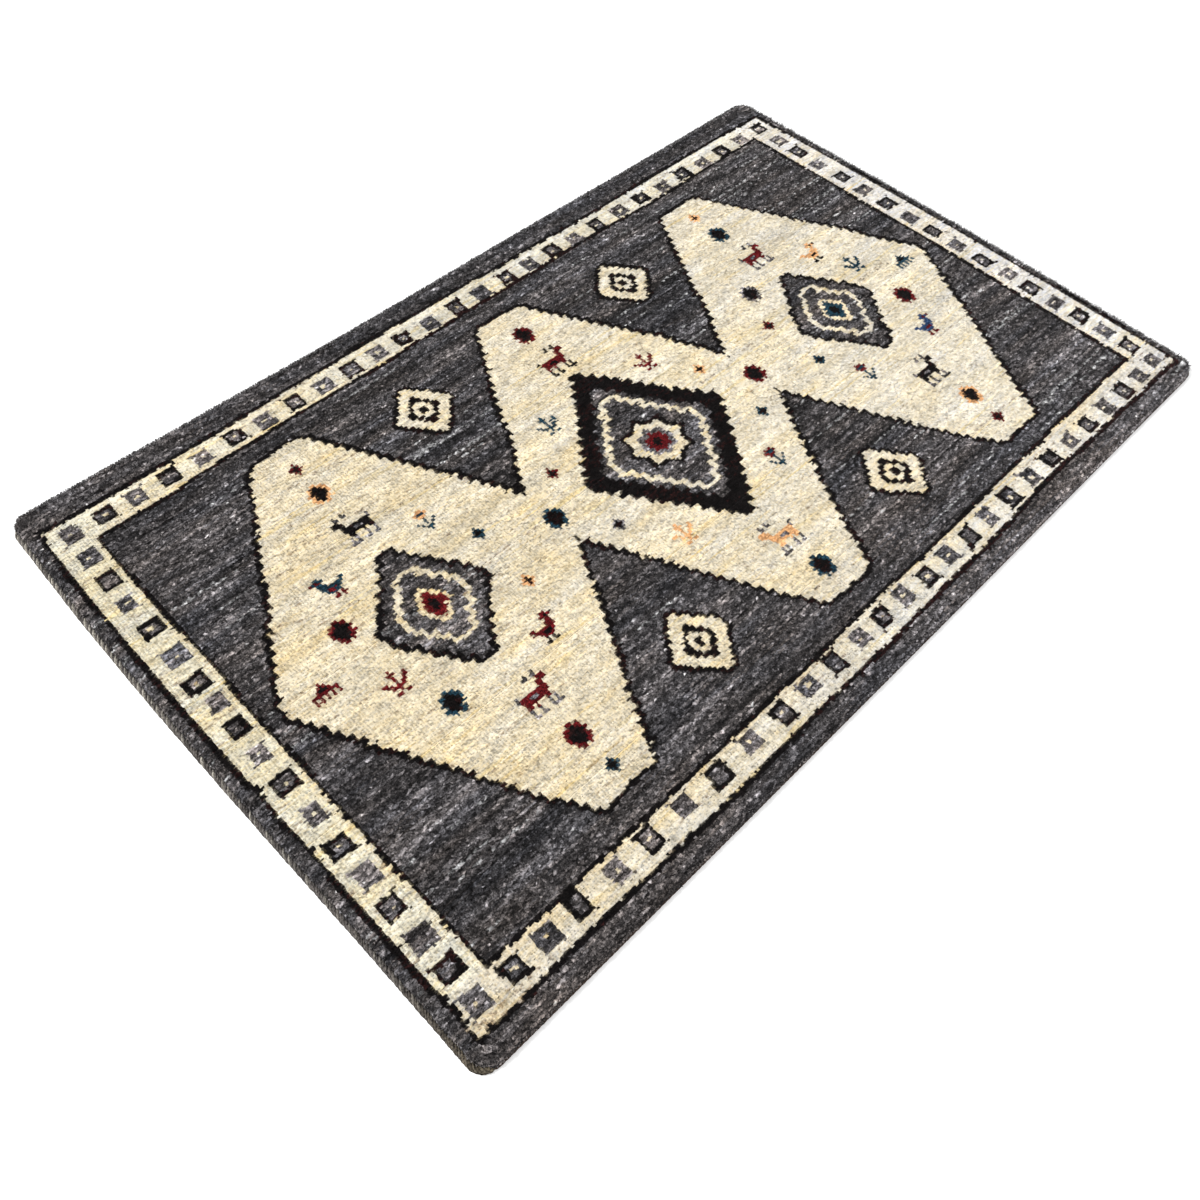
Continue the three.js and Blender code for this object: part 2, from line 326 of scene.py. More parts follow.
def border_square(x, y, outlined, hand):
    half = SQUARE_HALF_MM["outlined" if outlined else "plain"]
    half_x, half_y = half + SQUARE_UNEVEN_MM["half"] * hand.uniform(-1, 1, 2)
    lean, slope = SQUARE_LEAN * hand.uniform(-1, 1, 2)
    x, y = (x, y) + SQUARE_UNEVEN_MM["place"] * hand.uniform(-1, 1, 2)
    dx = RX - x - lean * (RY - y)
    dy = RY - y - slope * (RX - x)
    pinch = hand.uniform(0.0, SQUARE_PINCH)
    across, up = np.abs(dx) / half_x, np.abs(dy) / half_y
    inside = (across + pinch * (1 - up) < 1) & (up + pinch * (1 - across) < 1)
    wool = BLACK if outlined else GREY
    chart[inside] = wool
    lot[inside] = hand.uniform(-1, 1)
    for side_x, side_y in hand.choice([-1, 1], (2, 2)):
        spike_x = np.abs(dx - side_x * (half_x + SPIKE_OUT_MM[0])) < SPIKE_HALF_MM[0]
        spike_y = np.abs(dy - side_y * (half_y + SPIKE_OUT_MM[1])) < SPIKE_HALF_MM[1]
        chart[spike_x & spike_y] = wool
    if outlined:
        middle = (np.abs(dx) < half_x - SQUARE_LINE_MM) & (np.abs(dy) < half_y - SQUARE_LINE_MM)
        chart[middle] = GREY
    if hand.random() < DOT_SHARE:
        dot_x, dot_y = SQUARE_UNEVEN_MM["dot"] * hand.uniform(-1, 1, 2)
        dot_half = [hand.uniform(*limits) for limits in DOT_HALF_MM]
        chart[(np.abs(dx - dot_x) < dot_half[0]) & (np.abs(dy - dot_y) < dot_half[1])] = PALE


def stray(side, along):
    table = SQUARE_STRAY[side]
    return np.interp(along, np.linspace(0, 1, len(table)), table)


border_hand = np.random.default_rng(7)
for i in range(SQUARES_LONG):
    along = i / (SQUARES_LONG - 1)
    x = SQUARE_COLUMNS["left"] + along * (SQUARE_COLUMNS["right"] - SQUARE_COLUMNS["left"])
    for side, y in SQUARE_ROWS.items():
        last_near = side == "near" and i == SQUARES_LONG - 1
        border_square(x + stray(side, along), y, i % 2 == 1 and not last_near, border_hand)
for i in range(1, SQUARES_SHORT - 1):
    along = i / (SQUARES_SHORT - 1)
    y = SQUARE_ROWS["far"] + along * (SQUARE_ROWS["near"] - SQUARE_ROWS["far"])
    for side, x in SQUARE_COLUMNS.items():
        border_square(x, y + stray(side, along), i % 2 == 0, border_hand)

# The cream medallion: three stepped lozenges with flat tops, linked in a row
LOZENGES_X = (-345.0, 0.0, 345.0)
LOZENGE_HALF = (192.0, 290.0)
LOZENGE_TOP_MM = 32.0
STEP_MM = 12.4
SMALL_STEP_MM = 6.2
HEART_STEP_MM = 6.0
# Where the lines round the forms are wide and high changes over this length, on a slant
LINE_RUN_MM = 30
LINE_SLANT = 0.7
WIDE_OVER = -0.1
HIGH_OVER = 0.2
STAR_HALF_MM = (27, 38)

mx = RX - FIELD_MIDDLE[0] + drift(RY, *FIELD_WANDER["x"], 31) + drift(RX + RY, *FIELD_WANDER["teeth"], 33)
my = RY - FIELD_MIDDLE[1] + drift(RX, *FIELD_WANDER["y"], 32) + drift(RX - RY, *FIELD_WANDER["teeth"], 34)


def lozenge(x, half_x, half_y, top=0.0, y=0.0, step=STEP_MM):
    """Knots inside a lozenge with stepped sides and a flat top, its middle at x and y."""
    height = np.floor(np.abs(my - y) / step) * step
    width = half_x - (half_x - top) * height / half_y
    return (np.abs(mx - x) < width) & (np.abs(my - y) < half_y)


def outline_of(form, seed):
    """The knots just outside a form: one or two of them wide, two or three rows high."""
    edge = np.zeros_like(form)
    wide = drift(KX + LINE_SLANT * KY, 1, LINE_RUN_MM, seed) > WIDE_OVER
    high = drift(KX - LINE_SLANT * KY, 1, LINE_RUN_MM, seed + 1) > HIGH_OVER
    for sideways in range(-2, 3):
        for up in range(-3, 4):
            if abs(sideways) + abs(up) > 3:
                continue
            moved = np.roll(form, (up, sideways), axis=(0, 1))
            if abs(sideways) == 2:
                moved &= wide
            if abs(up) == 3:
                moved &= high
            edge |= moved
    return edge & ~form


medallion = np.zeros_like(chart, dtype=bool)
for x in LOZENGES_X:
    medallion |= lozenge(x, *LOZENGE_HALF, LOZENGE_TOP_MM)
chart[outline_of(medallion, 41)] = BLACK
chart[medallion] = CREAM

# Inside the middle lozenge, a thick black one round a charcoal one with a cream line and
# an eight-pointed star of two crossed squares. The outer two hold smaller ones.
chart[lozenge(0, 112, 150)] = BLACK
chart[lozenge(0, 83, 112)] = CHARCOAL
chart[outline_of(lozenge(0, 64, 87), 47)] = CREAM
far_x, far_y = np.abs(mx), np.abs(my)
star = np.minimum(np.maximum(far_x, far_y) / STAR_HALF_MM[0], (far_x + far_y) / STAR_HALF_MM[1])
for size, wool in ((1.2, BLACK), (1, CREAM), (0.66, GREY), (0.45, RED), (0.2, BLACK)):
    chart[star < size] = wool
for x in (LOZENGES_X[0], LOZENGES_X[2]):
    small = lozenge(x, 62, 86)
    chart[outline_of(small, 43)] = BLACK
    chart[small] = CHARCOAL
    chart[outline_of(lozenge(x, 37, 53), 49)] = CREAM
    for half_x, half_y, wool in ((20, 28, PALE), (14, 20, RED if x < 0 else TEAL), (6, 9, BLACK)):
        chart[lozenge(x, half_x, half_y, step=HEART_STEP_MM)] = wool

# Small cream lozenges in the charcoal between the large ones
for x, y in ((-174, 226), (171, 229), (-171, -228), (175, -225)):
    chart[outline_of(lozenge(x, 38, 44, y=y, step=SMALL_STEP_MM), 45)] = BLACK
    for half_x, half_y, wool in ((38, 44, CREAM), (21, 25, BLACK), (12, 15, CREAM), (5, 6, BLACK)):
        chart[lozenge(x, half_x, half_y, y=y, step=SMALL_STEP_MM)] = wool

# Little motifs, one letter for each cell of one knot by two rows: C is the main wool and
# T the trim
MOTIFS = {
    "rosette": """
...CC...
.CCTTCC.
.CTTTTCC
CTTTTTTC
.CTTTTTC
CCTTTTC.
.CCTTCC.
..C.CC..""",
    "plant": """
....C....
...CCC...
....C...C
CC..C..CC
.CC.C.CC.
..CCCCC..
....C....
..CC.CC..""",
    "flower": """
..CCC..
.CTTTC.
..CCC..
...T...
T..T..T
.T.T.T.
..TTT..
...T...""",
    "goat": """
.......T..T..
......TT.TT..
..........CCC
.........CCCC
T........CC..
TCCCCCCCCCC..
.CCCTTTCCCC..
.CCCCCCCCC...
.CC.C...CC...
.T..T...T.T..
.T..T...T.T..
.TT.TT..TTTT.""",
    "bird": """
..CC.......
TCTCC......
..CC.......
..CCC....CC
..CCCCCCCC.
...CTTTCC..
....CCCC...
.....T.T...
....TT.TT..""",
    "comb": """
....C....
...CTC...
..CTTTC..
CCCCCCCCC
C.C.C.C.C
C.C.C.C.C""",
    "spark": """
..C..
.CTC.
CTTTC
.CTC.
..C..""",
}
MOTIF_ROWS = 2
PLACED = (
    ("rosette", -172, 1, TEAL, BLACK), ("rosette", 173, -2, RED, BLACK, True),
    ("goat", 1, 188, RED, BLACK), ("goat", -3, -190, ORANGE, GREY, True),
    ("rosette", 2, 247, RED, BLACK), ("rosette", -1, -249, TEAL, BLACK), ("plant", -82, 112, TEAL, TEAL),
    ("plant", 84, 108, RED, RED), ("plant", -80, -112, ORANGE, ORANGE), ("flower", 83, -110, RED, TEAL),
    ("spark", -128, 52, RED, BLACK), ("spark", 126, 50, ORANGE, BLACK),
    ("spark", -126, -54, GREY, BLACK), ("spark", 129, -52, TEAL, BLACK),
    ("goat", -345, 148, BLACK, GREY, True), ("rosette", -347, 211, ORANGE, BLACK),
    ("spark", -344, 258, RED, BLACK), ("bird", -412, 98, TEAL, RED), ("flower", -281, 100, ORANGE, TEAL),
    ("rosette", -440, 42, RED, BLACK, True), ("spark", -252, 44, TEAL, BLACK),
    ("comb", -496, -3, RED, BLACK), ("plant", -438, -44, RED, RED), ("spark", -254, -42, ORANGE, BLACK),
    ("bird", -281, -98, RED, BLACK, True), ("rosette", -410, -101, TEAL, BLACK),
    ("goat", -343, -150, RED, GREY), ("rosette", -346, -214, RED, BLACK, True),
    ("spark", -345, -260, TEAL, BLACK), ("goat", 347, 150, RED, GREY),
    ("rosette", 344, 213, TEAL, BLACK), ("spark", 346, 259, ORANGE, BLACK),
    ("bird", 413, 99, ORANGE, BLACK, True), ("rosette", 282, 101, GREY, BLACK),
    ("plant", 438, 44, TEAL, TEAL), ("spark", 253, 43, RED, BLACK), ("comb", 497, 2, TEAL, BLACK),
    ("rosette", 439, -43, RED, BLACK), ("spark", 254, -44, TEAL, BLACK), ("flower", 281, -99, RED, TEAL),
    ("bird", 412, -99, BLUE, RED, True), ("goat", 345, -149, BLACK, GREY),
    ("rosette", 347, -212, ORANGE, BLACK), ("spark", 343, -259, RED, BLACK),
)


def knot_motif(name, x, y, wool, trim, turned=False):
    cells = MOTIFS[name].split()
    tall = len(cells) * MOTIF_ROWS
    wide = len(cells[0])
    first_knot = round((x + FIELD_MIDDLE[0] + ROW_MM / 2) / ROW_MM * KNOTS - wide / 2)
    top_row = round((y + FIELD_MIDDLE[1] + CLOTH_MM / 2) / CLOTH_MM * ROWS + tall / 2)
    for row, letters in enumerate(cells):
        for column, letter in enumerate(letters[::-1] if turned else letters):
            if letter != ".":
                high = top_row - row * MOTIF_ROWS
                colour = wool if letter == "C" else trim
                chart[high - MOTIF_ROWS:high, first_knot + column] = colour


for place in PLACED:
    knot_motif(*place)


# The wools. The greys are undyed wools carded together, so their shade runs in long
# streaks along the rows, clumps over a few knots and differs from tuft to tuft. The cream
# has yellower streaks and some dark hairs, and the dyed wools are nearly even.
WOOL_COLOUR = {
    CHARCOAL: (0.0482, 0.0444, 0.0450),
    CREAM: (0.722, 0.679, 0.582),
    BLACK: (0.0040, 0.0028, 0.0028),
    GREY: (0.080, 0.0733, 0.0745),
    PALE: (0.76, 0.68, 0.52),
    RED: (0.105, 0.006, 0.008),
    TEAL: (0.012, 0.040, 0.060),
    ORANGE: (0.80, 0.43, 0.20),
    BLUE: (0.025, 0.055, 0.13),
}
BROWN_FLECK = np.array((0.20, 0.14, 0.10))
LILAC_FLECK = np.array((0.46, 0.42, 0.40))
# How much single tufts differ: greys in lightness, light wools by a warm shade
GREY_TUFTS = 0.66
DYED_TUFTS = 0.15
PALE_TUFTS = (0.02, 0.06, 0.15)
# Layers of streaks: strength, length in millimetres, height in rows, seed
GREY_STREAKS = (
    (0.40, 500, 20, 61), (0.66, 220, 4.63, 62), (0.57, 70, 1.74, 63),
    (0.50, 8.56, 2.4, 64), (0.50, 26, 1.3, 68),
)
GREY_TINTS = ((0.05, 260, 9, 65), (0.05, 34, 5, 67))
LIGHT_STREAKS = ((0.07, 500, 20, 81), (0.10, 220, 4.6, 82), (0.09, 70, 1.7, 83), (0.16, 8.5, 3.2, 84))
YELLOW_STREAKS = ((0.364, 300, 4.6, 85), (0.95, 31.5, 6.5, 86), (0.318, 12, 2.5, 87))
# Shares of knots that are tied a row or a knot before, at and after their place in the chart
ROW_SLIPS = (0.025, 0.95, 0.025)
KNOT_SLIPS = (0.008, 0.984, 0.008)


def streaks(length_mm, rows, seed):
    """Smooth random values from -1 to 1 in streaks of that length and number of rows."""
    across = int(ROW_MM / length_mm) + 4
    up = int(ROWS / rows) + 3
    values = np.random.default_rng(seed).uniform(-1, 1, (up, across))
    slip = 0.5 + 0.5 * np.sin(np.arange(ROWS) * 2.4)[:, None]
    at_x = (np.arange(KNOTS) / KNOTS * ROW_MM / length_mm)[None, :] + slip
    at_y = (np.arange(ROWS) / rows)[:, None] + np.zeros((1, KNOTS))
    i, j = at_y.astype(int), at_x.astype(int)
    ty, tx = eased(at_y - i), eased(at_x - j)
    low = blend(values[i, j], values[i, j + 1], tx)
    high = blend(values[i + 1, j], values[i + 1, j + 1], tx)
    return blend(low, high, ty)


def layered(layers):
    return sum(strength * streaks(*layer) for strength, *layer in layers)


# Some knots are tied a little off their place in the chart
dye = np.random.default_rng(23)
slip_row = dye.choice([-1, 0, 1], chart.shape, p=ROW_SLIPS)
slip_knot = dye.choice([-1, 0, 1], chart.shape, p=KNOT_SLIPS)
rows_at = np.clip(np.arange(ROWS)[:, None] + slip_row, 0, ROWS - 1)
knots_at = np.clip(np.arange(KNOTS)[None, :] + slip_knot, 0, KNOTS - 1)
pile_chart = chart[rows_at, knots_at]
is_grey = (pile_chart == CHARCOAL) | (pile_chart == GREY)
is_light = (pile_chart == CREAM) | (pile_chart == PALE)
single = dye.normal(0, 1, chart.shape)
chance = dye.random(chart.shape)
tufts = dye.normal(0, 1, (2, ROWS, KNOTS))

# Greys: shade, paler flecks, and a tint that turns a little warmer or cooler. The outer
# band of the near side is browner at the left and worn paler towards the right.
near_band = ramp(-KY, 366, 374)
worn = near_band * ramp(KX, -160, 100)
browned = near_band * ramp(-KX, 150, 400)
flecked = chance < 0.231 * unit(1.5 * streaks(110, 1.8, 66)) + 0.02
grey_shade = layered(GREY_STREAKS) + 0.36 * single + 0.74 * flecked
grey_shade += 0.75 * worn - 0.2 * browned + 0.22 * lot * (pile_chart == GREY)
grey_tint = layered(GREY_TINTS) + 0.03 * lot + 0.08 * browned
white_line = (streaks(150, 1.3, 71) > 0.62) & (streaks(420, 30, 72) > 0.1)
white_line &= dye.random(chart.shape) < 0.5

# Light wools: yellower streaks, grey-lilac flecks and a few rows with brown hairs
yellow = layered(YELLOW_STREAKS)
yellow += np.clip(yellow - 0.4, 0, None) - 1.4 * KX / ROW_MM
honey = unit(2.6 * streaks(55, 1.6, 93) - 1.2) * unit(2 * streaks(230, 14, 94) + 0.4)
lilac = chance < 0.005 + 0.20 * unit(1.9 * streaks(120, 2.2, 88) - 0.8)
soiled = ramp(-KX, 80, 480)
brown = chance > 1 - 0.45 * unit(3 * streaks(90, 1.5, 89) - 2.05 + 0.6 * soiled) - 0.002

# Where light wools differ, and how much their red, green and blue do, as natural logs. The
# border's cream is cooler than the field's, paler at the right, darker near the left corner.
rightward = ramp(KX, -ROW_MM / 2, ROW_MM / 2)
to_near, to_left = ramp(-KY, 320, 335), ramp(-KX, 540, 555)
to_right = ramp(KX, 545, 560) * np.clip((KY + 420) / 240, 0.35, 1)
light_tints = (
    (yellow, (0.03, -0.01, -0.11)),
    (KX / ROW_MM, (0.05, 0.05, 0.05)),
    (honey, (-0.02, -0.12, -0.45)),
    (~within(INNER_EDGE, 4, INNER_SEED), (-0.04, 0.0, 0.065)),
    (np.maximum(to_near * rightward**2, to_right), (0.06, 0.06, 0.12)),
    (to_near * (1 - rightward)**2, (-0.08, -0.09, -0.07)),
    (to_left * (1 - to_near), (0.01, 0.03, 0.04)),
)

wool_table = np.array(list(WOOL_COLOUR.values()))
knot_colour = wool_table[pile_chart]
warmth = grey_tint[..., None] * np.array([1.0, 0.1, -1.0])
grey_part = knot_colour * np.exp(grey_shade[..., None] + warmth)
white_line &= pile_chart == CHARCOAL
grey_part = np.where(white_line[..., None], 0.27 + 0.5 * grey_part, grey_part)
light_part = knot_colour * np.exp(layered(LIGHT_STREAKS) + 0.03 * single)[..., None]
for amount, tint in light_tints:
    light_part *= np.exp(amount[..., None] * np.array(tint))
light_part = np.where(lilac[..., None], (light_part + LILAC_FLECK) / 2, light_part)
light_part = np.where(brown[..., None], (light_part + 2 * BROWN_FLECK) / 3, light_part)
dyed_part = knot_colour * np.exp(0.14 * single + 0.25 * streaks(40, 2, 91))[..., None]
rusty = (pile_chart == BLACK) & (streaks(160, 6, 92) + 0.35 * single > 0.55)
dyed_part = np.where(rusty[..., None], dyed_part * (3.2, 1.3, 1.2), dyed_part)
knot_colour = np.where(is_grey[..., None], grey_part, np.where(is_light[..., None], light_part, dyed_part))
tufts = np.exp(np.where(
    is_light[..., None],
    -np.abs(tufts[..., None]) * np.array(PALE_TUFTS),
    tufts[..., None] * np.where(is_grey, GREY_TUFTS, DYED_TUFTS)[..., None],
))

YARN_SHADER = {"Roughness": 0.95, "Specular IOR Level": 0.12, "Sheen Roughness": 0.6}
FIBRE_NOISE = {"Detail": 3.0, "Roughness": 0.7}
LUMP_NOISE = {"Scale": 650.0, "Detail": 4.0, "Roughness": 0.65}
# What the fibres' noise mostly spans, and how much darker or lighter that makes them
FIBRE_SPAN = (0.35, 0.65)
FIBRE_SPREAD = (-1.0, 1.5)
# Lightness of dark and of pale wool, and how strong the lumps of each look
WOOL_SPAN = (0.06, 0.45)
WOOL_RELIEF = (0.8, 0.3)


def joined_mesh(name, points, triangles):
    """One mesh from arrays of points in metres and of triangles that face outwards."""
    mesh = bpy.data.meshes.new(name)
    mesh.vertices.add(len(points))
    mesh.vertices.foreach_set("co", np.asarray(points, np.float32).ravel())
    mesh.loops.add(3 * len(triangles))
    mesh.loops.foreach_set("vertex_index", np.asarray(triangles, np.int32).ravel())
    mesh.polygons.add(len(triangles))
    mesh.polygons.foreach_set("loop_start", np.arange(len(triangles), dtype=np.int32) * 3)
    mesh.update(calc_edges=True)
    return placed(name, mesh)


def colour_mesh(mesh, colours, domain):
    """Keeps one colour for each face or corner of a face, for the material to read."""
    layer = mesh.attributes.new("yarn_colour", "FLOAT_COLOR", domain)
    rgba = np.concatenate([colours, np.ones((len(colours), 1))], axis=1)
    layer.data.foreach_set("color", np.clip(rgba, 0.001, 0.96).astype(np.float32).ravel())


def yarn_material(name, dark_fleck, light_fleck, fleck_mm, lump_mm, sheen):
    """Matt wool yarn: its own colour, light and dark fibres mixed in, and lumps."""
    material = bpy.data.materials.new(name)
    material.use_nodes = True
    tree = material.node_tree
    shader = tree.nodes["Principled BSDF"]
    set_inputs(shader, {**YARN_SHADER, "Sheen Weight": sheen})

    def added(kind, values, joined, **settings):
        """The outputs of a new node with these values, outputs joined to it, and settings."""
        node = tree.nodes.new("ShaderNode" + kind)
        for key, setting in settings.items():
            setattr(node, key, setting)
        set_inputs(node, values)
        for socket, output in joined.items():
            tree.links.new(output, node.inputs[socket])
        return node.outputs

    def changed(value, span, onto):
        limits = {"From Min": span[0], "From Max": span[1], "To Min": onto[0], "To Max": onto[1]}
        return added("MapRange", limits, {"Value": value})["Result"]

    places = added("TexCoord", {}, {})["Object"]
    colour = added("Attribute", {}, {}, attribute_name="yarn_colour")["Color"]
    lightness = added("RGBToBW", {}, {"Color": colour})["Val"]
    fibres = added("TexNoise", {**FIBRE_NOISE, "Scale": 1000 / fleck_mm}, {"Vector": places})["Fac"]
    spread = changed(fibres, FIBRE_SPAN, FIBRE_SPREAD)
    amount = changed(lightness, WOOL_SPAN, (dark_fleck, light_fleck))
    factor = added("Math", {2: 1.0}, {0: spread, 1: amount}, operation="MULTIPLY_ADD")["Value"]
    mixed = added("VectorMath", {}, {0: colour, "Scale": factor}, operation="SCALE")["Vector"]
    lumps = added("TexNoise", LUMP_NOISE, {"Vector": places})["Fac"]
    relief = changed(lightness, WOOL_SPAN, WOOL_RELIEF)
    bumped = added("Bump", {"Distance": lump_mm / 1000}, {"Strength": relief, "Height": lumps})["Normal"]
    tree.links.new(mixed, shader.inputs["Base Color"])
    tree.links.new(bumped, shader.inputs["Normal"])
    return material


pile_yarn = yarn_material(
    "cut_pile_wool", dark_fleck=0.95, light_fleck=0.11, fleck_mm=1.5, lump_mm=0.7, sheen=0.02
)

# The pile, knotted in six bands of rows. Each knot stands up as a pair of cut yarn ends:
# a small roof with its ridge along the row, leaning towards the near side. The bands are
# closed below, where they stand on the woven ground.
BANDS = 6
GROUND_MM = 3.0
FOOT_MM = GROUND_MM + 0.05
VALLEY_MM = 1.1
# Painted shade: the colour down between the tufts of grey and dyed wools is darkened by this factor
VALLEY_SHADE = 0.90
# Light passes through pale wool, so it looks flatter, and the shade painted between its tufts is warmer
PALE_RELIEF = 0.4
# Painted shade between pale tufts: a warmer, slightly darker colour
PALE_VALLEY_SHADE = (1.02, 0.97, 0.87)
# Where the wools differ, the knots keep their places and colours more clearly
JITTER = {"plain": (0.44, 0.46), "pale": (0.26, 0.27), "change": (0.26, 0.28)}
BLEED = {"plain": 0.6, "change": 0.25}
RIDGE_MM = 0.30
UNEVEN_MM = 0.50
CLUMP_MM = 0.35
CLUMP_STREAKS = (9, 3.4, 95)
# The two ends of a ridge: where they lie along the knot and how far they stray, as shares
# of its size, and how much the leans and the splay differ
RIDGE_ENDS = (0.27, 0.73)
RIDGE_STRAY = (0.15, 0.34)
LIGHT_STEADY = 0.75
LEAN_SPREAD = (0.5, 1.4)
SPLAY_SPREAD = (0.5, 1.3)
VALLEY_SPLAY = 0.4
# At the rim the tufts splay out at the far and right sides and are pressed in at the near
RIM_MM = 16.0
SPLAY_MM = 2.6
PRESS_MM = 2.6
FOOT_IN_MM = 0.12
# A band's map: its lengths, the margins round each, and where it has the foot
ATLAS_PARTS = 3
ATLAS_U = (0.01, 0.975)
ATLAS_V = (0.04, 0.92)
ATLAS_FOOT = (0.9995, 1.02)
# The six triangles of a knot, by its four valley points and its two ridge points
KNOT_FACES = (0, 1, 5, 0, 5, 4, 1, 2, 5, 5, 2, 3, 5, 3, 4, 3, 0, 4)

hand = np.random.default_rng(5)
even_x = np.linspace(-ROW_MM / 2, ROW_MM / 2, KNOTS + 1)
even_y = np.linspace(-CLOTH_MM / 2, CLOTH_MM / 2, ROWS + 1)
node_x, node_y = np.meshgrid(even_x, even_y)
knot_wide, row_high = ROW_MM / KNOTS, CLOTH_MM / ROWS
loose = np.zeros_like(node_x)
loose[1:-1, 1:-1] = 1


def around_nodes(grid):
    """What a grid holds for the four knots round each node."""
    grid = np.pad(grid, 1, mode="edge")
    return np.stack([grid[:-1, :-1], grid[1:, 1:], grid[:-1, 1:], grid[1:, :-1]])


wools = around_nodes(pile_chart)
plain = (wools == wools[0]).all(axis=0)
pale = plain & around_nodes(is_light)[0]
jitter_x, jitter_y = [
    np.where(pale, pale_jitter, np.where(plain, jitter, change_jitter))
    for jitter, pale_jitter, change_jitter in zip(JITTER["plain"], JITTER["pale"], JITTER["change"])
]
bleed = np.where(plain, BLEED["plain"], BLEED["change"]).reshape(-1, 1)
node_x = node_x + loose * jitter_x * hand.uniform(-1, 1, node_x.shape) * knot_wide
node_y = node_y + loose * jitter_y * hand.uniform(-1, 1, node_y.shape) * row_high


def raised(x, y, rise, lean):
    """Points at a height above or below the even surface of the pile, in metres."""
    small = 0.5
    p = np.stack(pile_surface(x, y), axis=-1)
    inward_x = np.where(x > 0, -small, small)
    inward_y = np.where(y > 0, -small, small)
    px = (np.stack(pile_surface(x + inward_x, y), axis=-1) - p) * np.sign(inward_x)[..., None]
    py = (np.stack(pile_surface(x, y + inward_y), axis=-1) - p) * np.sign(inward_y)[..., None]
    normal = np.cross(px, py)
    normal /= np.maximum(np.linalg.norm(normal, axis=-1, keepdims=True), 1e-9)
    p = p + normal * rise[..., None]
    return warp(p[..., 0], p[..., 1] - lean, p[..., 2])


def splay(x, y):
    """How much further the tufts stand out at the rim, in millimetres."""
    inside_by, way_x, way_y, _ = edge_place(*round_corners(x, y))
    rim = np.sin(np.pi * unit(inside_by / RIM_MM))
    return rim * (SPLAY_MM * open_side(way_x, way_y) - PRESS_MM * unit(-way_y))


clumps = streaks(*CLUMP_STREAKS)
relief = np.where(is_light, PALE_RELIEF, 1.0)
node_relief = around_nodes(relief).mean(axis=0)
valley_rise = 0.5 * UNEVEN_MM * hand.normal(0, 1, node_x.shape) - VALLEY_MM
valley_rise = VALLEY_SPLAY * splay(node_x, node_y) + node_relief * valley_rise
valley = raised(node_x, node_y, valley_rise, 0.0)
steady = np.where(is_light, LIGHT_STEADY, 1.0)
ridges = []
for share in RIDGE_ENDS:
    stray_x = steady * hand.uniform(-RIDGE_STRAY[0], RIDGE_STRAY[0], KX.shape) * knot_wide
    stray_y = steady * hand.uniform(-RIDGE_STRAY[1], RIDGE_STRAY[1], KX.shape) * row_high
    x, y = KX + (share - 0.5) * knot_wide + stray_x, KY + stray_y
    rise = relief * (RIDGE_MM + UNEVEN_MM * hand.normal(0, 1, KX.shape) + CLUMP_MM * clumps)
    rise += splay(x, y) * hand.uniform(*SPLAY_SPREAD, KX.shape)
    ridges.append((x, y, raised(x, y, rise, LEAN_MM * hand.uniform(*LEAN_SPREAD, KX.shape))))

# Each tuft has its own colour. Down between the tufts, some of the wool of one of the four knots around
# shows too, darkened with painted shade, a warmer one under pale wool.
left_colour, right_colour = knot_colour * tufts[0], knot_colour * tufts[1]
painted_valley_shade = np.where(is_light[..., None], PALE_VALLEY_SHADE, VALLEY_SHADE)
left_in_shade, right_in_shade = left_colour * painted_valley_shade, right_colour * painted_valley_shade
beside_row = np.clip(np.arange(ROWS + 1)[:, None] - hand.integers(0, 2, node_x.shape), 0, ROWS - 1)
beside_knot = np.clip(np.arange(KNOTS + 1)[None, :] - hand.integers(0, 2, node_x.shape), 0, KNOTS - 1)
between_colour = right_in_shade[beside_row, beside_knot]


def wall_between(lower, upper):
    """Triangles from a lower ring of points to an upper one, facing outwards."""
    lower_next, upper_next = np.roll(lower, -1), np.roll(upper, -1)
    return np.stack([lower, lower_next, upper_next, lower, upper_next, upper], axis=-1).reshape(-1, 3)


def lid_across(ring, rows):
    """Triangles across the ring round that many rows of knots, facing down."""
    near, far = ring[:KNOTS + 1], ring[KNOTS + rows:2 * KNOTS + rows + 1][::-1]
    right_side = ring[KNOTS:KNOTS + rows + 1]
    left_side = np.concatenate([ring[2 * KNOTS + rows:], ring[:1]])[::-1]
    strips = np.stack([near[1:-2], far[1:-2], far[2:-1], near[1:-2], far[2:-1], near[2:-1]], axis=-1)
    ends = [(near[1], left_side[k], left_side[k + 1]) for k in range(rows)] + [(near[1], far[0], far[1])]
    ends += [(near[-2], right_side[k + 1], right_side[k]) for k in range(rows)]
    ends.append((near[-2], far[-2], far[-1]))
    return np.concatenate([strips.reshape(-1, 3), np.array(ends)])


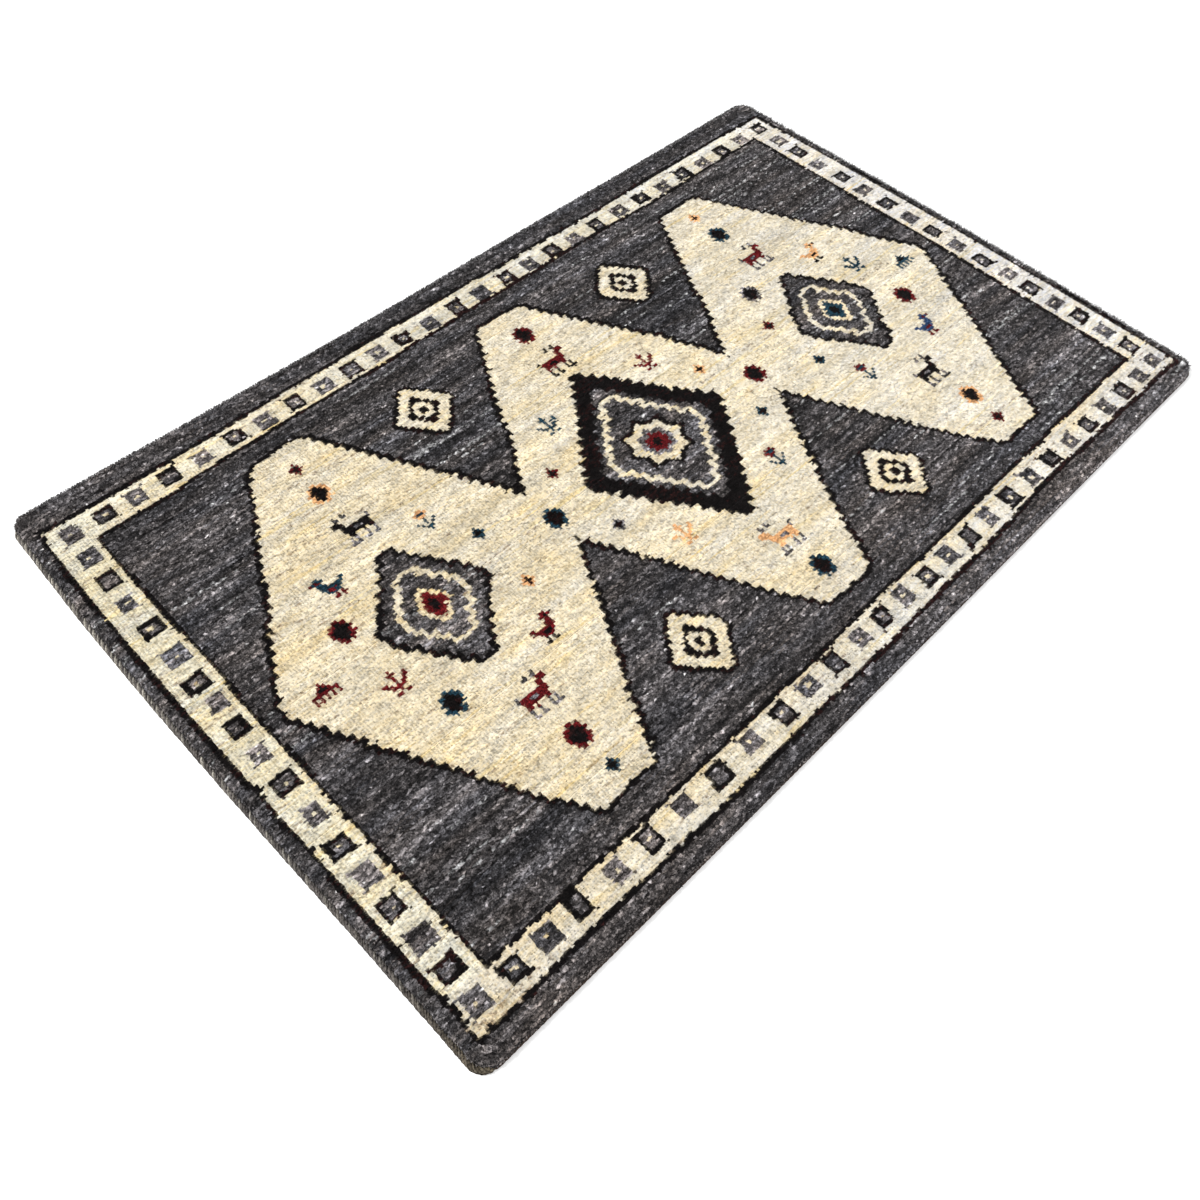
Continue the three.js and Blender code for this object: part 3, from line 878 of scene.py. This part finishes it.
first_rows = np.linspace(0, ROWS, BANDS + 1).round().astype(int)
for band in range(BANDS):
    low, high = first_rows[band], first_rows[band + 1]
    rows = high - low
    nodes_xyz = valley[low:high + 1].reshape(-1, 3)
    left_xyz, right_xyz = [ridge[2][low:high].reshape(-1, 3) for ridge in ridges]
    count = len(nodes_xyz)
    number = np.arange(count).reshape(rows + 1, KNOTS + 1)
    a, b = number[:-1, :-1].ravel(), number[:-1, 1:].ravel()
    c, d = number[1:, 1:].ravel(), number[1:, :-1].ravel()
    p = count + np.arange(rows * KNOTS)
    q = p + rows * KNOTS
    knots = np.stack([a, b, c, d, p, q], axis=-1)[:, KNOT_FACES].reshape(-1, 3)

    # The rim of the band, anticlockwise, and the foot below it
    rim = np.concatenate([number[0, :-1], number[:-1, -1], number[-1, :0:-1], number[:0:-1, 0]])
    middle = nodes_xyz.mean(axis=0)
    foot_xyz = nodes_xyz[rim].copy()
    foot_xyz[:, :2] += np.sign(middle[:2] - foot_xyz[:, :2]) * FOOT_IN_MM / 1000
    foot_xyz[:, 2] = FOOT_MM / 1000
    foot = count + 2 * rows * KNOTS + np.arange(len(rim))

    points = np.concatenate([nodes_xyz, left_xyz, right_xyz, foot_xyz])
    triangles = np.concatenate([knots, wall_between(foot, rim), lid_across(foot, rows)])
    piece = joined_mesh(f"pile_band_{band + 1}", points, triangles)
    mesh = piece.data

    # The valley corners carry the painted shade between the tufts
    left, right, left_shaded, right_shaded = [
        part[low:high].reshape(-1, 3) for part in (left_colour, right_colour, left_in_shade, right_in_shade)
    ]
    between = between_colour[low:high + 1].reshape(-1, 3)
    mix = bleed[low * (KNOTS + 1):(high + 1) * (KNOTS + 1)]
    corners = [mix[n] * between[n] + (1 - mix[n]) * own
               for n, own in ((a, left_shaded), (b, right_shaded), (c, right_shaded), (d, left_shaded))]
    corners = np.stack(corners + [left, right], axis=1)[:, KNOT_FACES].reshape(-1, 3)
    spots = np.concatenate([between, left, right, np.tile(WOOL_COLOUR[CHARCOAL], (len(rim), 1))])
    colour_mesh(mesh, np.concatenate([corners, spots[triangles[len(knots):].ravel()]]), "CORNER")
    mesh.materials.append(pile_yarn)
    mesh.shade_smooth()

    # Its map is the band cut into three lengths, laid one above the other
    flat_x, flat_y = [
        np.concatenate([nodes[low:high + 1].ravel(), ends[low:high].ravel(), others[low:high].ravel()])
        for nodes, ends, others in zip((node_x, node_y), ridges[0][:2], ridges[1][:2])
    ]
    base_y = low * row_high - CLOTH_MM / 2
    middle_y = base_y + rows * row_high / 2
    flat_x = np.concatenate([flat_x, flat_x[rim] * ATLAS_FOOT[0]])
    flat_y = np.concatenate([flat_y, middle_y + (flat_y[rim] - middle_y) * ATLAS_FOOT[1]])
    hidden = triangles[len(knots):]
    hidden_part = (flat_x[hidden].mean(axis=1) / ROW_MM + 0.5) * ATLAS_PARTS
    part = np.concatenate([
        np.repeat(np.tile(np.arange(KNOTS) * ATLAS_PARTS // KNOTS, rows), len(KNOT_FACES) // 3),
        np.clip(hidden_part, 0, ATLAS_PARTS - 1).astype(int),
    ])
    part_start = np.ceil(part * KNOTS / ATLAS_PARTS) * knot_wide - ROW_MM / 2
    u = (flat_x[triangles] - part_start[:, None]) / (ROW_MM / ATLAS_PARTS + 2 * knot_wide)
    v = (flat_y[triangles] - base_y) / (rows * row_high)
    u = ATLAS_U[0] + ATLAS_U[1] * u
    v = (part[:, None] + ATLAS_V[0] + ATLAS_V[1] * v) / ATLAS_PARTS
    layer = mesh.uv_layers.new(name="OFBake")
    layer.uv.foreach_set("vector", np.stack([u, v], axis=-1).astype(np.float32).ravel())

    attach(piece, "root")
    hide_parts("rug_body")

# Loose fibres that stand out of the rim of the pile, most along the far and right sides.
# Each is a thin closed spike.
FIBRES = {"far": 4300, "right": 3400, "near": 200, "left": 200}
FIBRE_LONG_MM = {"far": 5.0, "right": 9.0, "near": 3.5, "left": 3.5}
FIBRE_LENGTHS = ((0.25, 1), (0.3, 1))
FIBRE_PLACE_MM = (7.0, 15.0)
FIBRE_BEND_MM = 1.6
FIBRE_HALF_MM = 0.32
FIBRE_END_MM = 8.0
FIBRE_ROOT_TONE = (1.0, 2.5)
FIBRE_TIP_TONE = 0.45
FIBRE_BED_MM = 0.6

fuzz = np.random.default_rng(19)
fibre_x, fibre_y, fibre_long = [], [], []
for side, count in FIBRES.items():
    inside = fuzz.uniform(*FIBRE_PLACE_MM, count)
    share, share_more = [fuzz.uniform(*limits, count) for limits in FIBRE_LENGTHS]
    fibre_long.append(FIBRE_LONG_MM[side] * share * share_more)
    if side in ("far", "near"):
        fibre_x.append((ROW_MM / 2 - FIBRE_END_MM) * fuzz.uniform(-1, 1, count))
        fibre_y.append((CLOTH_MM / 2 - inside) * (1 if side == "far" else -1))
    else:
        fibre_x.append((ROW_MM / 2 - inside) * (1 if side == "right" else -1))
        fibre_y.append((CLOTH_MM / 2 - FIBRE_END_MM) * fuzz.uniform(-1, 1, count))
fibre_x, fibre_y, fibre_long = [np.concatenate(part) for part in (fibre_x, fibre_y, fibre_long)]
spikes = []
for turn in np.radians([90, 210, 330]):
    x, y = fibre_x + FIBRE_HALF_MM * math.cos(turn), fibre_y + FIBRE_HALF_MM * math.sin(turn)
    spikes.append(raised(x, y, splay(x, y) - FIBRE_BED_MM, LEAN_MM))
bent_x, bent_y = fuzz.uniform(-FIBRE_BEND_MM, FIBRE_BEND_MM, (2, len(fibre_x)))
fibre_rise = fibre_long + splay(fibre_x, fibre_y)
spikes.append(raised(fibre_x + bent_x, fibre_y + bent_y, fibre_rise, LEAN_MM))
corner = np.arange(len(fibre_x))[:, None] * 4
triangles = (corner + np.array([0, 1, 3, 1, 2, 3, 2, 0, 3, 0, 2, 1])[None, :]).reshape(-1, 3)
fibres = joined_mesh("rim_fibres", np.stack(spikes, axis=1).reshape(-1, 3), triangles)
root_shade = fuzz.uniform(*FIBRE_ROOT_TONE, (len(fibre_x), 1)) * np.array(WOOL_COLOUR[CHARCOAL])
tip_shade = np.full_like(root_shade, FIBRE_TIP_TONE)
shade = np.stack([root_shade, root_shade, root_shade, tip_shade], axis=1).reshape(-1, 3)
colour_mesh(fibres.data, shade[triangles.ravel()], "CORNER")
fibres.data.materials.append(pile_yarn)
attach(fibres, "root")
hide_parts("rug_body")

# The woven ground: the sheet of warps and wefts that the knots are tied into. Its back
# shows the design in the backs of the knots. Along the long sides it ends in a plain
# woven strip of brown wool, turned under and stitched down.
GROUND_EDGE = (
    {"long": 3.0, "short": 9.0, "height": 0.0},
    {"long": 0.6, "short": 7.7, "height": 0.5},
    {"long": 0.2, "short": 7.5, "height": 1.4},
    {"long": 0.6, "short": 7.5, "height": 2.3},
    {"long": 2.0, "short": 7.9, "height": GROUND_MM},
)
BROWN_END = (0.055, 0.036, 0.028)
RIB_MM = 0.16


def ground_ring(cells, edge):
    """Corners of knots, by row and knot, drawn in to a ring of the ground's edge, in metres."""
    row, knot = np.transpose(cells)
    x, y = round_corners(even_x[knot], even_y[row])
    inside_by, way_x, way_y, short = edge_place(x, y)
    share = unit(inside_by / EDGE_REACH_MM)
    inset = blend(edge["long"], edge["short"], short)
    drawn = -inset * (1 - share)
    return warp(x + way_x * drawn, y + way_y * drawn, edge["height"] + 0 * x)


changes = [set(np.flatnonzero(np.diff(row)) + 1) | {0, KNOTS} for row in chart]
every_knot = set(range(KNOTS + 1))
lines = [every_knot] + [changes[r - 1] | changes[r] for r in range(1, ROWS)] + [every_knot]
ground_number = {}
for r, line in enumerate(lines):
    for k in sorted(line):
        ground_number[r, k] = len(ground_number)
ground_points = [ground_ring(list(ground_number), GROUND_EDGE[0])]
ground_faces, ground_wools = [], []
for r in range(ROWS):
    starts = sorted(changes[r])
    below, above = sorted(lines[r]), sorted(lines[r + 1])
    i = j = 0
    for start, end in zip(starts[:-1], starts[1:]):
        while below[i] < end or above[j] < end:
            here, there = ground_number[r, below[i]], ground_number[r + 1, above[j]]
            low_next = below[i + 1] if below[i] < end else KNOTS * 2
            high_next = above[j + 1] if above[j] < end else KNOTS * 2
            if low_next <= high_next:
                i += 1
                ground_faces.append((here, there, ground_number[r, below[i]]))
            else:
                j += 1
                ground_faces.append((here, there, ground_number[r + 1, above[j]]))
            ground_wools.append(chart[r, start])

rim_cells = [(0, k) for k in range(KNOTS)] + [(r, KNOTS) for r in range(ROWS)]
rim_cells += [(ROWS, k) for k in range(KNOTS, 0, -1)] + [(r, 0) for r in range(ROWS, 0, -1)]
rings = [np.array([ground_number[cell] for cell in rim_cells])]
ribs = np.where(np.arange(len(rim_cells)) % 2 == 0, RIB_MM, -RIB_MM)
total = len(ground_number)
for edge in GROUND_EDGE[1:]:
    ribbed = dict(edge, long=edge["long"] + ribs * (edge["height"] < GROUND_MM))
    ground_points.append(ground_ring(rim_cells, ribbed))
    rings.append(total + np.arange(len(rim_cells)))
    total += len(rim_cells)
walls = np.concatenate([wall_between(lower, upper) for lower, upper in zip(rings[:-1], rings[1:])])
lid = lid_across(rings[-1], ROWS)[:, [0, 2, 1]]
ground = joined_mesh(
    "woven_ground", np.concatenate(ground_points), np.concatenate([ground_faces, walls, lid])
)
colours = np.concatenate([
    wool_table[ground_wools],
    np.tile(BROWN_END, (len(walls), 1)),
    np.tile(WOOL_COLOUR[CHARCOAL], (len(lid), 1)),
])
colour_mesh(ground.data, colours, "FACE")
knot_backs = yarn_material(
    "knot_backs", dark_fleck=0.3, light_fleck=0.08, fleck_mm=1.1, lump_mm=0.4, sheen=0.0
)
ground.data.materials.append(knot_backs)
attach(ground, "root")
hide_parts("rug_body")

# The selvedges: along each short side a thick handspun yarn is sewn over the outermost
# warps in slanting wraps, and runs a little way round both corners. The yarn is plied of a
# pale and a dark strand, so each wrap shows one of each.
WRAP_MM = 8.7
WRAP_SLANT = -1.15
CORD_INSET_MM = 3.6
CORD_MIDDLE_MM = 3.3
CORD_TURN = math.radians(88)
CORD_TAPER_WRAPS = 1.5
CORD_DIVE_MM = 1.5
RINGS_PER_WRAP = 10
CORD_SIDES = 12
# Radius of the yarn at each ring of a wrap: groove, pale strand, groove, dark strand
WRAP_RADII_MM = (2.55, 3.45, 3.85, 3.8, 3.3, 2.8, 3.3, 3.6, 3.6, 3.2)
PALE_RINGS = 5
WRAP_WANDER = (0.16, 7)
WRAP_UNEVEN = (0.93, 1.03)
END_SHARE = 0.35
PALE_STRAND = np.array((0.27, 0.25, 0.215))
DARK_STRAND = np.array((0.058, 0.052, 0.048))
OLIVE_STRAND = np.array((0.062, 0.051, 0.035))
DARK_SPREAD = (0.7, 1.6)
PALE_SPREAD = 0.35

selvedge_yarn = yarn_material(
    "handspun_wool", dark_fleck=0.9, light_fleck=0.6, fleck_mm=1.8, lump_mm=0.7, sheen=0.02
)


def selvedge(name, across, seed):
    """The overcast yarn of one short side: across is -1 on the left and 1 on the right."""
    spin = np.random.default_rng(seed)
    bend = CORNER_MM - CORD_INSET_MM
    straight = CLOTH_MM - 2 * CORNER_MM
    length = straight + 2 * bend * CORD_TURN
    wraps = int(length / WRAP_MM)
    count = wraps * RINGS_PER_WRAP + 1
    ring = np.arange(count)
    wrap = np.minimum(ring // RINGS_PER_WRAP, wraps - 1)
    along = (ring / RINGS_PER_WRAP + drift(ring * 1.0, *WRAP_WANDER, seed)) / wraps * length - length / 2
    along = np.clip(along, -length / 2, length / 2)
    radius = np.array(WRAP_RADII_MM)[ring % RINGS_PER_WRAP] * spin.uniform(*WRAP_UNEVEN, wraps)[wrap]
    fullness = unit(np.minimum(ring, count - 1 - ring) / (CORD_TAPER_WRAPS * RINGS_PER_WRAP))
    radius *= END_SHARE + (1 - END_SHARE) * np.sin(fullness * np.pi / 2)

    # Each wrap slants: its points slip along the yarn's path as it goes round
    angle = (np.arange(CORD_SIDES) / CORD_SIDES - 0.25) * 2 * np.pi
    winding = np.where(np.arange(CORD_SIDES) == 0, 0, np.pi / 2 - angle)
    slip = WRAP_SLANT * radius[:, None] * winding * fullness[:, None]
    along = np.clip(along[:, None] + slip, -length / 2, length / 2)
    turn = np.sign(along) * np.maximum(np.abs(along) - straight / 2, 0) / bend
    dive = CORD_DIVE_MM * (1 - np.sin(fullness * np.pi / 2))[:, None]
    out = bend - dive + radius[:, None] * np.cos(angle)
    x = CORNER_MM - ROW_MM / 2 - out * np.cos(turn)
    y = np.clip(along, -straight / 2, straight / 2) + out * np.sin(turn)
    z = np.maximum(CORD_MIDDLE_MM + radius[:, None] * np.sin(angle), 0.0)
    points = warp(-across * x, y, z).reshape(-1, 3)

    number = np.arange(count * CORD_SIDES).reshape(count, CORD_SIDES)
    a, b = number[:-1], np.roll(number, -1, axis=1)[:-1]
    c, d = np.roll(number, -1, axis=1)[1:], number[1:]
    skin = np.stack([a, c, b, a, d, c], axis=-1).reshape(-1, 3)
    caps = [(number[0, 0], number[0, k], number[0, k + 1]) for k in range(1, CORD_SIDES - 1)]
    caps += [(number[-1, 0], number[-1, k + 1], number[-1, k]) for k in range(1, CORD_SIDES - 1)]
    triangles = np.concatenate([skin, np.array(caps)])
    if across < 0:
        triangles = triangles[:, ::-1]
    piece = joined_mesh(name, points, triangles)

    # Pale strands are strongest from the far corner to the middle, and turn olive and
    # dark towards the near corner
    place = np.arange(wraps) / wraps
    paleness = 1.25 * place - 0.2 + spin.normal(0, PALE_SPREAD, wraps) * unit(0.25 + 2.5 * place)
    paleness = np.clip(paleness, 0.04, 1)[:, None]
    olive = unit(1 - 6 * place)[:, None]
    dark = blend(DARK_STRAND, OLIVE_STRAND, olive)
    pale = blend(dark, PALE_STRAND, paleness)
    strands = np.stack([pale, dark * spin.uniform(*DARK_SPREAD, (wraps, 1))])
    is_pale = ring[:-1] % RINGS_PER_WRAP < PALE_RINGS
    shade = strands[np.where(is_pale, 0, 1), wrap[:-1]]
    shade = np.concatenate([np.repeat(shade, 2 * CORD_SIDES, axis=0), np.tile(shade[0], (len(caps), 1))])
    colour_mesh(piece.data, shade, "FACE")
    piece.data.materials.append(selvedge_yarn)
    piece.data.shade_smooth()
    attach(piece, "root")
    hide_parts(name.replace("_yarn", ""))


selvedge("selvedge_left_yarn", -1, 81)
selvedge("selvedge_right_yarn", 1, 82)
